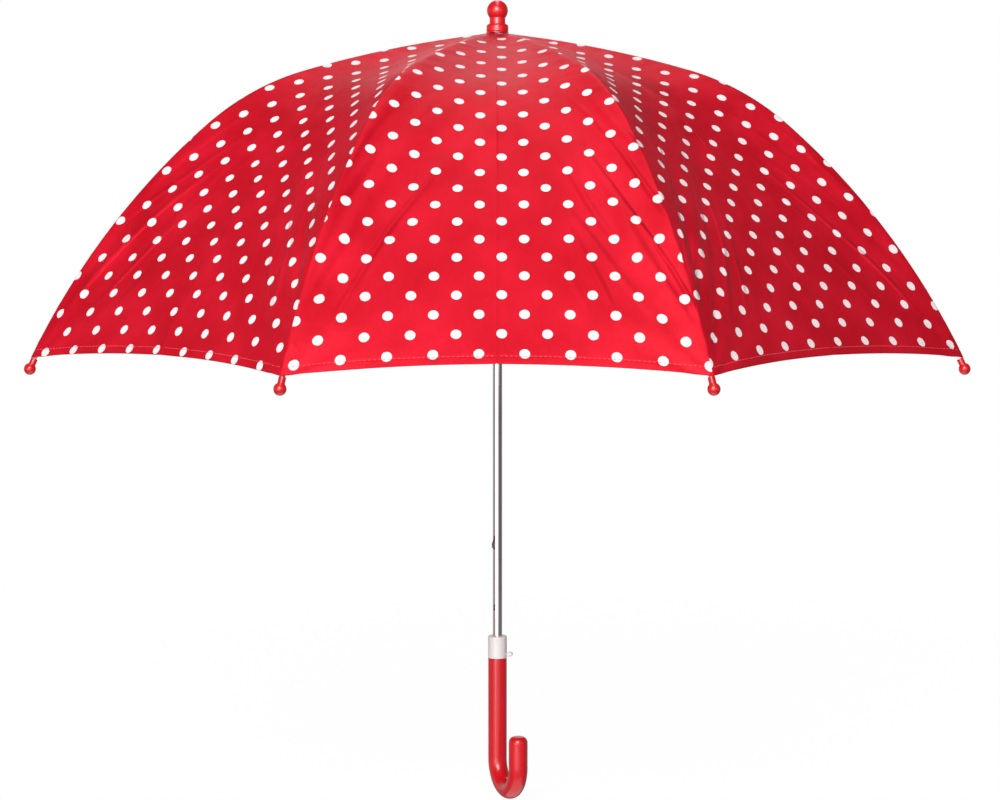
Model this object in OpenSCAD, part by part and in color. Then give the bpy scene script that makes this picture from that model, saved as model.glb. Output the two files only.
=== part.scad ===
// Children's stick umbrella, shown open: a domed eight-gore canopy on curved ribs, a sliding
// runner on a steel shaft, and a moulded crook handle.
// Frame: +Z up along the shaft, origin at the middle of the grip, +X towards the open end of
// the crook. Rib 1 lies over +X and the others follow anticlockwise, seen from above.

/* [Canopy and ribs] */
// Radius of the circle through the eight ball tips
tip_r = 350; // [300:5:400]
// How far the ball tips lie below the rib hinges
tip_drop = 236; // [200:2:260]
// Slope of a rib below level where it leaves the notch
rib_slope_top = 7; // [0:1:10]
// Slope of a rib where its flat top bends into the shoulder
rib_slope_shoulder = 16.5; // [12:0.5:20]
// Slope of a rib where the shoulder runs into the straighter flank
rib_slope_flank = 40.5; // [36:0.5:44]
// Slope of a rib at its ball tip
rib_slope_tip = 64; // [60:1:68]
// Bend radius of a rib's flat top
rib_top_r = 880; // [500:20:1000]
// Height of the rib hinges above the middle of the grip
hinge_z = 500; // [440:5:560]
// Radius of the circle that the rib hinges and the stretcher feet lie on
hinge_r = 6.5; // [6:0.1:8]
// Share of a rib's length, from the notch, at which its stretcher is riveted
rivet_share = 0.468; // [0.40:0.002:0.50]
// Thickness of the canopy cloth
cloth_t = 0.5; // [0.3:0.1:1]
// How far the cloth dips between two ribs, halfway down the canopy
cloth_sag = 14; // [0:1:18]
// How far the cloth dips between two ribs at the hem
hem_sag = 5; // [0:1:10]
// How far the hem is cut back in the middle of a gore
hem_scallop = 11; // [4:1:20]

/* [Shaft and handle] */
// Outside diameter of the shaft
shaft_d = 7; // [6:0.5:9]
// Wall of the shaft
shaft_wall = 0.5; // [0.4:0.1:1]
// Outside diameter of the handle
handle_d = 14; // [12:1:20]
// Centreline radius of the crook
crook_r = 20; // [17:1:30]
// Level of the crook's centre below the middle of the grip
crook_drop = 38; // [30:1:60]
// Height of the collar above the handle
collar_h = 16.5; // [10:0.5:25]

/* [Runner and ferrule] */
// Length of the runner below its stretcher hinges
runner_len = 34; // [25:1:40]
// Diameter of the ball on top
knob_d = 15.5; // [12:0.5:20]

/* [Hidden] */
$fn = 64;
N_RIBS = 8;
PITCH = 360 / N_RIBS;
HALF_GORE = PITCH / 2;
FIT = 0.05;             // between parts that are pressed or glued together
SLIDE = 0.15;           // between the runner and the shaft

// Rib: three arcs in the XZ plane that run on smoothly from the notch hinge to the ball centre.
// The radii of the last two follow from where the ball has to lie.
slopes = [rib_slope_top, rib_slope_shoulder, rib_slope_flank, rib_slope_tip];
function arc_out(i) = sin(slopes[i + 1]) - sin(slopes[i]);
function arc_down(i) = cos(slopes[i]) - cos(slopes[i + 1]);
out_left = tip_r - hinge_r - rib_top_r * arc_out(0);
down_left = tip_drop - rib_top_r * arc_down(0);
both = arc_out(1) * arc_down(2) - arc_out(2) * arc_down(1);
arc_r = [rib_top_r,
         (out_left * arc_down(2) - down_left * arc_out(2)) / both,
         (down_left * arc_out(1) - out_left * arc_down(1)) / both];
arc_len = [for (i = [0 : 2]) arc_r[i] * (slopes[i + 1] - slopes[i]) * PI / 180];
arc_start = [0, arc_len[0], arc_len[0] + arc_len[1]];
rib_len = arc_start[2] + arc_len[2];
function heading(i) = [sin(slopes[i]), cos(slopes[i])];
centre_0 = [hinge_r, hinge_z] - arc_r[0] * heading(0);
centre_1 = centre_0 + (arc_r[0] - arc_r[1]) * heading(1);
centre_2 = centre_1 + (arc_r[1] - arc_r[2]) * heading(2);
arc_centre = [centre_0, centre_1, centre_2];

// The arc that a share of the rib's length falls on, the slope there, and the point as [x, z]
function arc_at(share) =
    share * rib_len < arc_start[1] ? 0 : share * rib_len < arc_start[2] ? 1 : 2;
function slope_at(share) =
    let (i = arc_at(share)) slopes[i] + (share * rib_len - arc_start[i]) / arc_r[i] * 180 / PI;
function rib_point(share) =
    let (i = arc_at(share), slope = slope_at(share))
    arc_centre[i] + arc_r[i] * [sin(slope), cos(slope)];
rib_w = 2.4;
rib_h = 2.2;
rib_wall = 0.45;
blade_t = 1.6;          // flattened ends of ribs and stretchers, in the slots
blade_r = 1.8;
blade_len = 7;
eye_d = 1.3;
wire_d = 1.1;
rivet_d = 1.2;

// Stretcher: as long as the rib from hinge to rivet, so both make one angle with the shaft and
// the runner keeps to the shaft at every pose
rivet_x = rib_point(rivet_share).x;
rivet_z = rib_point(rivet_share).y;
runner_z = 2 * rivet_z - hinge_z;
stretcher_len = norm([rivet_x - hinge_r, rivet_z - runner_z]);
stretcher_rise = atan2(rivet_z - runner_z, rivet_x - hinge_r);
channel_w = 3.7;
channel_h = 2.6;
channel_wall = 0.5;
fork_len = 9;           // the channel's floor is cut away this far from the rivet

// Ball tips
tip_ball_d = 8.2;
tip_neck_d = 4.7;
tip_bore_d = 3.7;
tip_len = 7.8;
rib_end_gap = 4.5;      // the rib stops this far short of the ball centre

// Canopy cloth
cloth_lift = 2.7;       // inner face of the cloth above the middle of the rib
seam_gap = 0.2;         // each cloth edge stays this far off its seam or fold plane
cloth_top = -0.005;     // share of the rib's length where the cloth starts
cloth_end = 1 - 8.3 / rib_len;
rows = 16;
cols = 3;

// Notch, runner and ferrule
crown_r = 9;
slot_w = 2.2;
slot_in = 4.6;
crown_over = 1.5;       // crown above its hinges
crown_under = 6;
notch_hub_r = 5;
notch_hub_len = 14;
notch_pin_d = 1.5;
notch_pin_z = hinge_z - 10;
runner_over = 2.6;
runner_sleeve_r = 5.6;
runner_ring_r = 8.5;
stop_pin_d = 1.6;
stop_z = runner_z + runner_over + 0.9;
cap_z = hinge_z + cloth_lift + cloth_t + 0.2;
cap_h = 0.6;
cap_r = 8.3;
ferrule_z = cap_z + cap_h;
ferrule_h = 23.4;
shaft_top = ferrule_z + 8;
shaft_foot = -10;

// Catches in the shaft
catch_w = 1.2;
catch_out = 1.9;        // how far a tooth stands out of the shaft
open_low = runner_z - runner_len;
fold_deg = 53;
closed_runner_z = hinge_z - 2 * stretcher_len * sin(stretcher_rise + fold_deg);
closed_top = closed_runner_z + runner_over;
upper_anchor = open_low - 50;
lower_anchor = closed_top - 47;

grip_top = crook_drop;  // the grip is as long above its middle as below it
collar_r = handle_d / 2 + 0.05;

// ---- shapes that repeat ----

module at_rib(number) { rotate([0, 0, PITCH * (number - 1)]) children(); }

module tube(r_out, r_in, height) {
    difference() {
        cylinder(r = r_out, h = height);
        translate([0, 0, -1]) cylinder(r = r_in, h = height + 2);
    }
}

// A bar of circular section across the shaft, turned to lie between two ribs
module cross_pin(z, d, length) {
    translate([0, 0, z]) rotate([0, 0, HALF_GORE]) rotate([90, 0, 0])
        cylinder(d = d, h = length, center = true);
}

module wire_ring(z, d) {
    translate([0, 0, z]) rotate_extrude() translate([hinge_r, 0]) circle(d = d);
}

// A flat eye on a short blade: the hinge hole is at the origin and the blade runs along +X
module eye_blade() {
    difference() {
        union() {
            rotate([90, 0, 0]) cylinder(r = blade_r, h = blade_t, center = true);
            translate([0, -blade_t / 2, -rib_h / 2]) cube([blade_len + 1, blade_t, rib_h]);
        }
        rotate([90, 0, 0]) cylinder(d = eye_d, h = blade_t + 2, center = true);
    }
}

// Channel section, open downwards, centred on the origin
module channel_2d(w, h, wall) {
    difference() {
        translate([-w / 2, -h / 2]) square([w, h]);
        translate([-w / 2 + wall, -h / 2 - 1]) square([w - 2 * wall, h + 1 - wall]);
    }
}

// Eight slots for flat eyes in a crown, open outwards
module crown_slots(low, high) {
    for (i = [1 : N_RIBS])
        at_rib(i) translate([slot_in, -slot_w / 2, low]) cube([crown_r, slot_w, high - low]);
}

// Moves its children from the origin to a point on the rib, with +X along the rib
module on_rib(share) {
    translate([rib_point(share).x, 0, rib_point(share).y])
        rotate([0, slope_at(share), 0]) children();
}

// ---- handle end ----

module handle() {
    r = handle_d / 2;
    round_r = 4.5;
    color("crimson") difference() {
        union() {
            translate([0, 0, -crook_drop]) cylinder(r = r, h = grip_top + crook_drop);
            translate([crook_r, 0, -crook_drop]) rotate([90, 0, 0]) rotate([0, 0, 180])
                rotate_extrude(angle = 180) translate([crook_r, 0]) circle(r = r);
            translate([2 * crook_r, 0, -crook_drop]) rotate_extrude()
                crook_tip_2d(r, round_r, 23.5);
        }
        translate([0, 0, shaft_foot]) cylinder(d = shaft_d + 2 * FIT, h = grip_top + 20);
    }
}

// Half outline of the crook's straight end, with its rim rounded over
module crook_tip_2d(r, round_r, height) {
    polygon(concat(
        [[0, 0], [r, 0]],
        [for (a = [0 : 10 : 90])
            [r - round_r + round_r * cos(a), height - round_r + round_r * sin(a)]],
        [[0, height]]));
}

// White collar over the handle's mouth, with the peg that the strap's ring hooks over
module collar() {
    color("white") difference() {
        union() {
            translate([0, 0, grip_top]) rotate_extrude() polygon(concat(
                [[0, 0], [collar_r, 0]],
                [for (a = [0 : 15 : 90])
                    [collar_r - 1 + cos(a), collar_h - 1 + sin(a)]],
                [[0, collar_h]]));
            rotate([0, 0, -HALF_GORE]) translate([0, collar_r - 2, grip_top + 2.1]) peg();
        }
        translate([0, 0, grip_top - 1]) cylinder(d = shaft_d + 2 * FIT, h = collar_h + 2);
    }
}

module peg() {
    stem_d = 2.8;
    stem_len = 4.6;
    rotate([-90, 0, 0]) cylinder(d = stem_d, h = stem_len);
    translate([0, stem_len, 0.4]) sphere(d = 3.8);
}

// ---- shaft and catches ----

module shaft() {
    color("silver") difference() {
        translate([0, 0, shaft_foot]) tube(shaft_d / 2, shaft_d / 2 - shaft_wall,
                                           shaft_top - shaft_foot);
        catch_slot(open_low - 14, open_low + 1);
        catch_slot(closed_top - 1, closed_top + 9);
        catch_slot(upper_anchor, upper_anchor + 4);
        catch_slot(lower_anchor, lower_anchor + 4);
        cross_pin(notch_pin_z, notch_pin_d + 2 * FIT, 20);
        cross_pin(stop_z, stop_pin_d + 2 * FIT, 20);
    }
}

module catch_slot(low, high) {
    rotate([0, 0, HALF_GORE]) translate([-catch_w / 2 - 0.2, -shaft_d, low])
        cube([catch_w + 0.4, shaft_d, high - low]);
}

// Flat spring midway between ribs 7 and 8: a strip up the inside of the shaft, a foot in its
// anchor hole and a tooth out through its slot
module catch_spring(points) {
    rotate([0, 0, HALF_GORE]) translate([-catch_w / 2, 0, 0]) rotate([90, 0, 90])
        linear_extrude(catch_w) polygon(points);
}

// Holds the open runner up: its tooth is square on top
module upper_catch() {
    wall = -shaft_d / 2;
    low = upper_anchor;
    color("gainsboro") catch_spring([
        [wall, low + 1], [-0.4, low + 1], [-0.4, open_low - 2], [-1.6, open_low - 0.2],
        [wall - catch_out, open_low - 0.2], [wall - catch_out, open_low - 3],
        [wall + 0.8, open_low - 12.5], [-0.9, open_low - 14], [-0.9, low + 3], [wall, low + 3]]);
}

// Holds the folded runner down: its tooth is square underneath
module lower_catch() {
    wall = -shaft_d / 2;
    low = lower_anchor;
    color("gainsboro") catch_spring([
        [wall, low + 1], [-0.4, low + 1], [-0.4, closed_top + 8],
        [wall + 0.8, closed_top + 8], [wall - catch_out, closed_top + 3.2],
        [wall - catch_out, closed_top + 0.3], [-1.4, closed_top + 0.3], [-0.9, closed_top - 1],
        [-0.9, low + 3], [wall, low + 3]]);
}

module runner_stop() { color("silver") cross_pin(stop_z, stop_pin_d, 9.4); }

// ---- top ----

module notch() {
    color("black") difference() {
        union() {
            translate([0, 0, hinge_z - crown_under])
                cylinder(r = crown_r, h = crown_under + crown_over);
            translate([0, 0, hinge_z - notch_hub_len]) cylinder(r = notch_hub_r,
                                                                h = notch_hub_len);
        }
        translate([0, 0, hinge_z - 20]) cylinder(d = shaft_d + 2 * FIT, h = 30);
        crown_slots(hinge_z - crown_under - 1, hinge_z + crown_over + 1);
        wire_ring(hinge_z, wire_d + 2 * FIT);
        cross_pin(notch_pin_z, notch_pin_d + 2 * FIT, 20);
    }
}

module notch_wire() { color("silver") wire_ring(hinge_z, wire_d); }

module notch_pin() { color("silver") cross_pin(notch_pin_z, notch_pin_d, 2 * notch_hub_r - 0.6); }

module top_cap() { color("crimson") translate([0, 0, cap_z]) tube(cap_r, shaft_d / 2 + FIT, cap_h); }

// Turned ball knob on a waisted foot, pressed over the end of the shaft
module ferrule() {
    r = knob_d / 2;
    ball_z = ferrule_h - r;
    neck_r = 5.9;
    foot_r = 8.1;
    foot_h = 6;
    color("red") translate([0, 0, ferrule_z]) difference() {
        rotate_extrude() polygon(concat(
            [[0, 0], [foot_r - 0.6, 0], [foot_r, 0.8], [foot_r, foot_h - 2.2]],
            [for (a = [15 : 15 : 90]) [foot_r - 2.2 + 2.2 * cos(a), foot_h - 2.2 + 2.2 * sin(a)]],
            [[neck_r, foot_h + 0.6]],
            [for (a = [-42 : 6 : 90]) [r * cos(a), ball_z + r * sin(a)]]));
        translate([0, 0, -1]) cylinder(d = shaft_d + 2 * FIT, h = shaft_top - ferrule_z + 1.2);
    }
}

// ---- runner ----

module runner() {
    color("white") translate([0, 0, runner_z]) difference() {
        union() {
            translate([0, 0, -4.5]) cylinder(r = crown_r, h = 4.5 + runner_over);
            translate([0, 0, -runner_len]) cylinder(r = runner_sleeve_r, h = runner_len);
            translate([0, 0, -runner_len]) cylinder(r = runner_ring_r, h = 3);
            translate([0, 0, -8.5]) cylinder(r1 = runner_sleeve_r, r2 = crown_r, h = 4);
        }
        translate([0, 0, -runner_len - 1]) cylinder(r = shaft_d / 2 + SLIDE, h = runner_len + 10);
        crown_slots(-2.2, runner_over + 1);
        wire_ring(0, wire_d + 2 * FIT);
    }
}

module runner_wire() { color("silver") wire_ring(runner_z, wire_d); }

// ---- ribs, tips and stretchers ----

module rib(number) {
    color("gray") at_rib(number) difference() {
        union() {
            on_rib(0) eye_blade();
            rib_arc(0, slope_at((blade_len - 0.5) / rib_len), slopes[1]);
            rib_arc(1, slopes[1], slopes[2]);
            rib_arc(2, slopes[2], slope_at(1 - rib_end_gap / rib_len));
        }
        on_rib(rivet_share) rotate([90, 0, 0]) cylinder(d = rivet_d + 0.16, h = 10, center = true);
    }
}

// Part of a rib's channel from one slope to another: rotate_extrude turns about Z, so the arc is
// laid over into the XZ plane
module rib_arc(i, from, to) {
    translate([arc_centre[i].x, 0, arc_centre[i].y]) rotate([90, 0, 0]) rotate([0, 0, 90 - to])
        rotate_extrude(angle = to - from) translate([arc_r[i], 0]) rotate([0, 0, -90])
            channel_2d(rib_w, rib_h, rib_wall);
}

module ball_tip(number) {
    color("red") at_rib(number) on_rib(1) rotate([0, -90, 0]) difference() {
        union() {
            sphere(d = tip_ball_d);
            cylinder(d = tip_neck_d, h = tip_len);
        }
        translate([0, 0, rib_end_gap - 0.7]) cylinder(d = tip_bore_d, h = tip_len);
    }
}

// Channel from the runner's slot to a fork that straddles the rib, with its rivet
module stretcher(number) {
    start = blade_len - 1;
    inner_w = channel_w - 2 * channel_wall;
    color("gray") at_rib(number) translate([hinge_r, 0, runner_z])
        rotate([0, -stretcher_rise, 0]) {
            eye_blade();
            difference() {
                union() {
                    translate([start, 0, 0]) rotate([90, 0, 90])
                        linear_extrude(stretcher_len - start) rotate([0, 0, 180])
                            channel_2d(channel_w, channel_h, channel_wall);
                    translate([start, -channel_w / 2, -channel_h / 2])
                        cube([1.5, channel_w, channel_h]);
                    translate([stretcher_len, 0, 0]) rotate([90, 0, 0])
                        cylinder(r = channel_h / 2, h = channel_w, center = true);
                }
                translate([stretcher_len - fork_len, -inner_w / 2, -5])
                    cube([fork_len + 5, inner_w, 10]);
                translate([stretcher_len, 0, 0]) rotate([90, 0, 0])
                    cylinder(d = rivet_d + 2 * FIT, h = 10, center = true);
            }
            translate([stretcher_len, 0, 0]) rivet();
        }
}

module rivet() {
    rotate([90, 0, 0]) {
        cylinder(d = rivet_d, h = channel_w + 0.6, center = true);
        for (s = [0, 1]) mirror([0, 0, s]) translate([0, 0, channel_w / 2 + 0.02])
            cylinder(d = 2, h = 0.4);
    }
}

// ---- canopy ----

// A point of the cloth between the seam over rib 1 (across = 0) and the fold in the middle of
// the gore (across = 1), for a share of the rib's length and a height over the cloth's inner face
function cloth_point(share, across, lift) =
    let (slope = slope_at(share),
         rib = rib_point(share),
         level = cloth_lift + lift - dip(max(share, 0)) * (1 - pow(1 - across, 2)),
         seam_radius = rib.x + cloth_lift * sin(slope),
         out = (rib.x + level * sin(slope)) * cos(HALF_GORE),
         aside = seam_gap + (1 - across) * (seam_radius * sin(HALF_GORE) - 2 * seam_gap))
    [out * cos(HALF_GORE) + aside * sin(HALF_GORE),
     out * sin(HALF_GORE) - aside * cos(HALF_GORE),
     rib.y + level * cos(slope)];

// How far the middle of a gore dips below its seams: most just below the shoulder
function dip(share) = cloth_sag * sin(180 * pow(share, 1.15)) + hem_sag * pow(share, 4);

// Share of the rib's length at row i: the last row follows the scalloped hem
function row_share(i, across) =
    cloth_top + i / rows
        * (cloth_end - cloth_top - hem_scallop / rib_len * (1 - pow(1 - across, 2)));

// Closed sheet over a grid of points: the inner face first, then the outer one
module sheet(inner, outer, m, n) {
    count = (m + 1) * (n + 1);
    function id(face, i, j) = face * count + i * (n + 1) + j;
    function quad(a, b, c, d) = [[a, b, c], [a, c, d]];
    faces = concat(
        [for (i = [0 : m - 1]) for (j = [0 : n - 1])
            each quad(id(0, i, j), id(0, i, j + 1), id(0, i + 1, j + 1), id(0, i + 1, j))],
        [for (i = [0 : m - 1]) for (j = [0 : n - 1])
            each quad(id(1, i, j), id(1, i + 1, j), id(1, i + 1, j + 1), id(1, i, j + 1))],
        [for (i = [0 : m - 1]) each quad(id(0, i, 0), id(0, i + 1, 0), id(1, i + 1, 0), id(1, i, 0))],
        [for (i = [0 : m - 1]) each quad(id(0, i, n), id(1, i, n), id(1, i + 1, n), id(0, i + 1, n))],
        [for (j = [0 : n - 1]) each quad(id(0, 0, j), id(1, 0, j), id(1, 0, j + 1), id(0, 0, j + 1))],
        [for (j = [0 : n - 1]) each quad(id(0, m, j), id(0, m, j + 1), id(1, m, j + 1), id(1, m, j))]);
    polyhedron(points = concat(inner, outer), faces = faces, convexity = 4);
}

function cloth_grid(lift) = [for (i = [0 : rows]) for (j = [0 : cols])
    cloth_point(row_share(i, j / cols), j / cols, lift)];

module half_gore() { sheet(cloth_grid(0), cloth_grid(cloth_t), rows, cols); }

module canopy_left(number) { color("red") at_rib(number) half_gore(); }

module canopy_right(number) { color("red") at_rib(number) mirror([0, 1, 0]) half_gore(); }

// ---- closing strap, lying on the outside of the gore at the back ----

strap_rib = 4;          // on the left half-gore of this rib
strap_w = 10;
strap_top = 0.66;
strap_end = 0.90;
strap_rows = 8;
strap_across = 0.55;    // where the strap's middle lies between seam and fold
strap_lift = cloth_t + 0.4;

function strap_point(i, side, lift) =
    let (share = strap_top + (strap_end - strap_top) * i / strap_rows,
         width = rib_point(share).x * sin(HALF_GORE))
    cloth_point(share, strap_across + side * strap_w / 2 / width, lift);

module tie_strap() {
    color("red") at_rib(strap_rib) sheet(
        [for (i = [0 : strap_rows]) for (s = [-1, 1]) strap_point(i, s, strap_lift)],
        [for (i = [0 : strap_rows]) for (s = [-1, 1]) strap_point(i, s, strap_lift + 0.9)],
        strap_rows, 1);
}

// Moulded ring at the strap's free end, flat on the cloth
module strap_ring() {
    ring_r = 7;
    lift = strap_lift + 1.2;
    top = cloth_point(strap_end, strap_across, lift);
    run = cloth_point(strap_end + 2 * ring_r / rib_len, strap_across, lift) - top;
    slope = atan2(-run.z, run.x * cos(HALF_GORE) + run.y * sin(HALF_GORE));
    color("white") at_rib(strap_rib) translate(top) rotate([0, 0, HALF_GORE]) rotate([0, slope, 0])
        translate([ring_r + 1.3, 0, 0]) rotate_extrude() translate([ring_r, 0]) circle(d = 1.8);
}

handle();
collar();
shaft();
ferrule();
top_cap();
notch();
notch_wire();
notch_pin();
runner_stop();
upper_catch();
lower_catch();
runner();
runner_wire();
tie_strap();
strap_ring();
for (i = [1 : N_RIBS]) {
    rib(i);
    ball_tip(i);
    stretcher(i);
    canopy_left(i);
    canopy_right(i);
}
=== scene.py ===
"""Children's stick umbrella: looks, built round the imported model."""

import math

import bpy
import numpy as np
from mathutils import Matrix, Vector


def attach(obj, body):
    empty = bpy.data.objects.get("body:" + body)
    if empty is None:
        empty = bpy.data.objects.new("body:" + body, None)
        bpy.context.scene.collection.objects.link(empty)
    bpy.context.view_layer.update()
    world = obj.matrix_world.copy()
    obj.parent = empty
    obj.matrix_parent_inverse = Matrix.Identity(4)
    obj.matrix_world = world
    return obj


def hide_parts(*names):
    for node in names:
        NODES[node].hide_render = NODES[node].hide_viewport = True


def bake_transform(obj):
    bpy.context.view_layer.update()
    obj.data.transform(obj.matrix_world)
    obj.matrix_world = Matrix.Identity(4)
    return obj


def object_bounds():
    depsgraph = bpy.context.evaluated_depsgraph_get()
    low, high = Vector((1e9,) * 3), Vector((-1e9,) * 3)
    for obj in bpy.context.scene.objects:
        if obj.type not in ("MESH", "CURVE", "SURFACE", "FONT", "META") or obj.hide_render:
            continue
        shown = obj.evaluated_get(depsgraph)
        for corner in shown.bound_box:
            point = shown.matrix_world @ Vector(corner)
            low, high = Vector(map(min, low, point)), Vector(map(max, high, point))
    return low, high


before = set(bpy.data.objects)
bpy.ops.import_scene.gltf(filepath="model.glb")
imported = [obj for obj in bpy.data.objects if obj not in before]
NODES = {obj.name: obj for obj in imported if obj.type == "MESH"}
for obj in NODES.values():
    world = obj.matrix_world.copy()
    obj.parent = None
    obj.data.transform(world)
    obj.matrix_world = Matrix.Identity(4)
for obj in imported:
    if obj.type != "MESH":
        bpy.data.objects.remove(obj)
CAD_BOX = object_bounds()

MM = 0.001
N_RIBS = 8
RIBS = range(1, N_RIBS + 1)
PITCH = math.radians(45)
HALF_GORE = PITCH / 2

# ---- the sizes that part.scad gives the canopy, in metres and radians ----

TIP_RADIUS = 0.350
TIP_DROP = 0.236
HINGE_R = 0.0065
HINGE_Z = 0.500
SLOPES = np.radians([7, 16.5, 40.5, 64])    # of the rib, at the ends of its three arcs
TOP_R = 0.880                               # bend radius of the first arc
RIVET_SHARE = 0.468                         # of the rib's length, where its stretcher is riveted
CHORD = math.atan2(TIP_DROP, TIP_RADIUS - HINGE_R)      # slope of the line from hinge to tip
FOLD = math.radians(53)                     # how far a rib turns
WING = math.radians(63)                     # how far a half-gore turns on its rib


def bend_radii():
    """Radii of the three arcs: the last two follow from where the ball has to lie."""
    out, down = np.diff(np.sin(SLOPES)), -np.diff(np.cos(SLOPES))
    left = (TIP_RADIUS - HINGE_R - TOP_R * out[0], TIP_DROP - TOP_R * down[0])
    return np.array([TOP_R, *np.linalg.solve([out[1:], down[1:]], left)])


ARC_R = bend_radii()
ARC_LEN = ARC_R * np.diff(SLOPES)
ARC_START = np.array([0, ARC_LEN[0], ARC_LEN[0] + ARC_LEN[1]])
RIB_LEN = float(ARC_LEN.sum())
HEADINGS = np.stack([np.sin(SLOPES), np.cos(SLOPES)], 1)
ARC_CENTRE = [np.array([HINGE_R, HINGE_Z]) - ARC_R[0] * HEADINGS[0]]
for k in (1, 2):
    ARC_CENTRE.append(ARC_CENTRE[-1] + (ARC_R[k - 1] - ARC_R[k]) * HEADINGS[k])
ARC_CENTRE = np.array(ARC_CENTRE)

CLOTH_OUT = 3.2 * MM        # outer face above the middle of the rib
CLOTH_T = 0.3 * MM
HEM_T = 0.5 * MM            # what the turned hem adds, on the inside
HEM_W = 7 * MM
STITCH_AT = 5.4 * MM        # stitch line's distance from the hem's edge
GROOVE = 0.12 * MM          # how deep the stitches pull the cloth in
SAG = 14 * MM               # a gore's dip between its ribs, halfway down
HEM_SAG = 5 * MM            # and at the hem
SCALLOP = 11 * MM           # how far the hem curves up between two tips
DRAWN_DOWN = 12.5 * MM      # how much lower the print hangs at the seams' ends
CLOTH_TOP = -0.005          # shares of the rib's length where the cloth starts and ends
CLOTH_END = 1 - 7.6 * MM / RIB_LEN

# heights and widths of the cloth's relief
CREASE_H, CREASE_W = 0.55 * MM, 5 * MM              # of the crease in mid-gore
SEAM_GROOVE_H, SEAM_GROOVE_W = 0.55 * MM, 1.1 * MM
PUCKER_H, PUCKER_W = 0.16 * MM, 5 * MM
PUCKER_WAVES = (9.5, 13.0, 21.0)                    # in millimetres
CORNER_FOLD_H, CORNER_FOLD_LEN = 0.9 * MM, 38 * MM
CORNER_FOLDS = 11                                   # per radian round the corner
BILLOW_H, BILLOW_EDGE = 0.6 * MM, 40 * MM
TENSION_H, TENSION_LEN = 1.5 * MM, 150 * MM
TENSION_LEAN = 0.35                                 # radians from the seam, where it fades
# share of TENSION_H on the left (-1) and right (1) of a gore; the front one is drawn tightest
TENSION = {(8, -1): 1.25, (8, 1): 0.8}


def rib_at(t):
    """Distance out, height and slope of the rib's middle at shares t of its length."""
    run = np.asarray(t, float) * RIB_LEN
    arc = np.searchsorted(ARC_START[1:], run, side="right")
    slope = SLOPES[arc] + (run - ARC_START[arc]) / ARC_R[arc]
    return (ARC_CENTRE[arc, 0] + ARC_R[arc] * np.sin(slope),
            ARC_CENTRE[arc, 1] + ARC_R[arc] * np.cos(slope), slope)


def dip(t):
    """How far the middle of a gore lies below its seams."""
    t = np.clip(t, 0, 1)
    return SAG * np.sin(math.pi * t ** 1.15) + HEM_SAG * t ** 4


# ---- meshes ----

def new_mesh(name, points, faces, smooth=True):
    """An object from plain lists of points and faces."""
    mesh = bpy.data.meshes.new(name)
    mesh.from_pydata([tuple(map(float, p)) for p in points], [], faces)
    mesh.validate()
    mesh.update()
    mesh.polygons.foreach_set("use_smooth", [smooth] * len(mesh.polygons))
    obj = bpy.data.objects.new(name, mesh)
    bpy.context.scene.collection.objects.link(obj)
    return obj


def shell(rows, cols):
    """Faces of a closed sheet over a grid: the outer grid's points come first, then the inner's.
    Returns the faces and how many of them are the outer ones."""
    count = rows * cols
    outer, inner, rim = [], [], []
    for i in range(rows - 1):
        for j in range(cols - 1):
            a, b, c, d = i * cols + j, i * cols + j + 1, (i + 1) * cols + j + 1, (i + 1) * cols + j
            outer.append((a, d, c, b))
            inner.append((a + count, b + count, c + count, d + count))
    edge = ([(0, j, 0, j + 1) for j in range(cols - 1)]
            + [(i, cols - 1, i + 1, cols - 1) for i in range(rows - 1)]
            + [(rows - 1, j, rows - 1, j - 1) for j in range(cols - 1, 0, -1)]
            + [(i, 0, i - 1, 0) for i in range(rows - 1, 0, -1)])
    for i, j, k, l in edge:
        a, b = i * cols + j, k * cols + l
        rim.append((a, b, b + count, a + count))
    return outer + inner + rim, len(outer)


def torus_faces(rings, sides, first=0):
    """Faces of a tube that closes on itself, whose points start at first."""
    faces = []
    for i in range(rings):
        for k in range(sides):
            n, m = (i + 1) % rings, (k + 1) % sides
            faces.append((first + i * sides + k, first + i * sides + m,
                          first + n * sides + m, first + n * sides + k))
    return faces


def lay_uv(mesh, uv):
    """Gives each vertex its place on the flat cloth."""
    layer = mesh.uv_layers.new(name="cloth")
    corner = np.empty(len(mesh.loops), int)
    mesh.loops.foreach_get("vertex_index", corner)
    layer.data.foreach_set("uv", uv[corner].astype(np.float32).ravel())


def smooth_step(x):
    """A smooth rise from 0 at 0 to 1 at 1."""
    x = np.clip(x, 0, 1)
    return x * x * (3 - 2 * x)


# ---- canopy cloth ----

def hem_share(a):
    """Share of the rib's length where the hem lies, for a from 0 in mid-gore to 1 at the seam."""
    return CLOTH_END - SCALLOP / RIB_LEN * (1 - a ** 2)


def cloth_share(f, a):
    """Share of the rib's length at f of the way from the cloth's top edge to its hem."""
    return CLOTH_TOP + f * (hem_share(a) - CLOTH_TOP)


def half_width(rib_x, slope):
    """Distance from mid-gore to the seam, level with a point of the rib."""
    return (rib_x + CLOTH_OUT * np.sin(slope)) * math.sin(HALF_GORE)


def gore_before(rib):
    """The gore on the other side of a rib; the rib's own gore has its number."""
    return (rib - 2) % N_RIBS + 1


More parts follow.
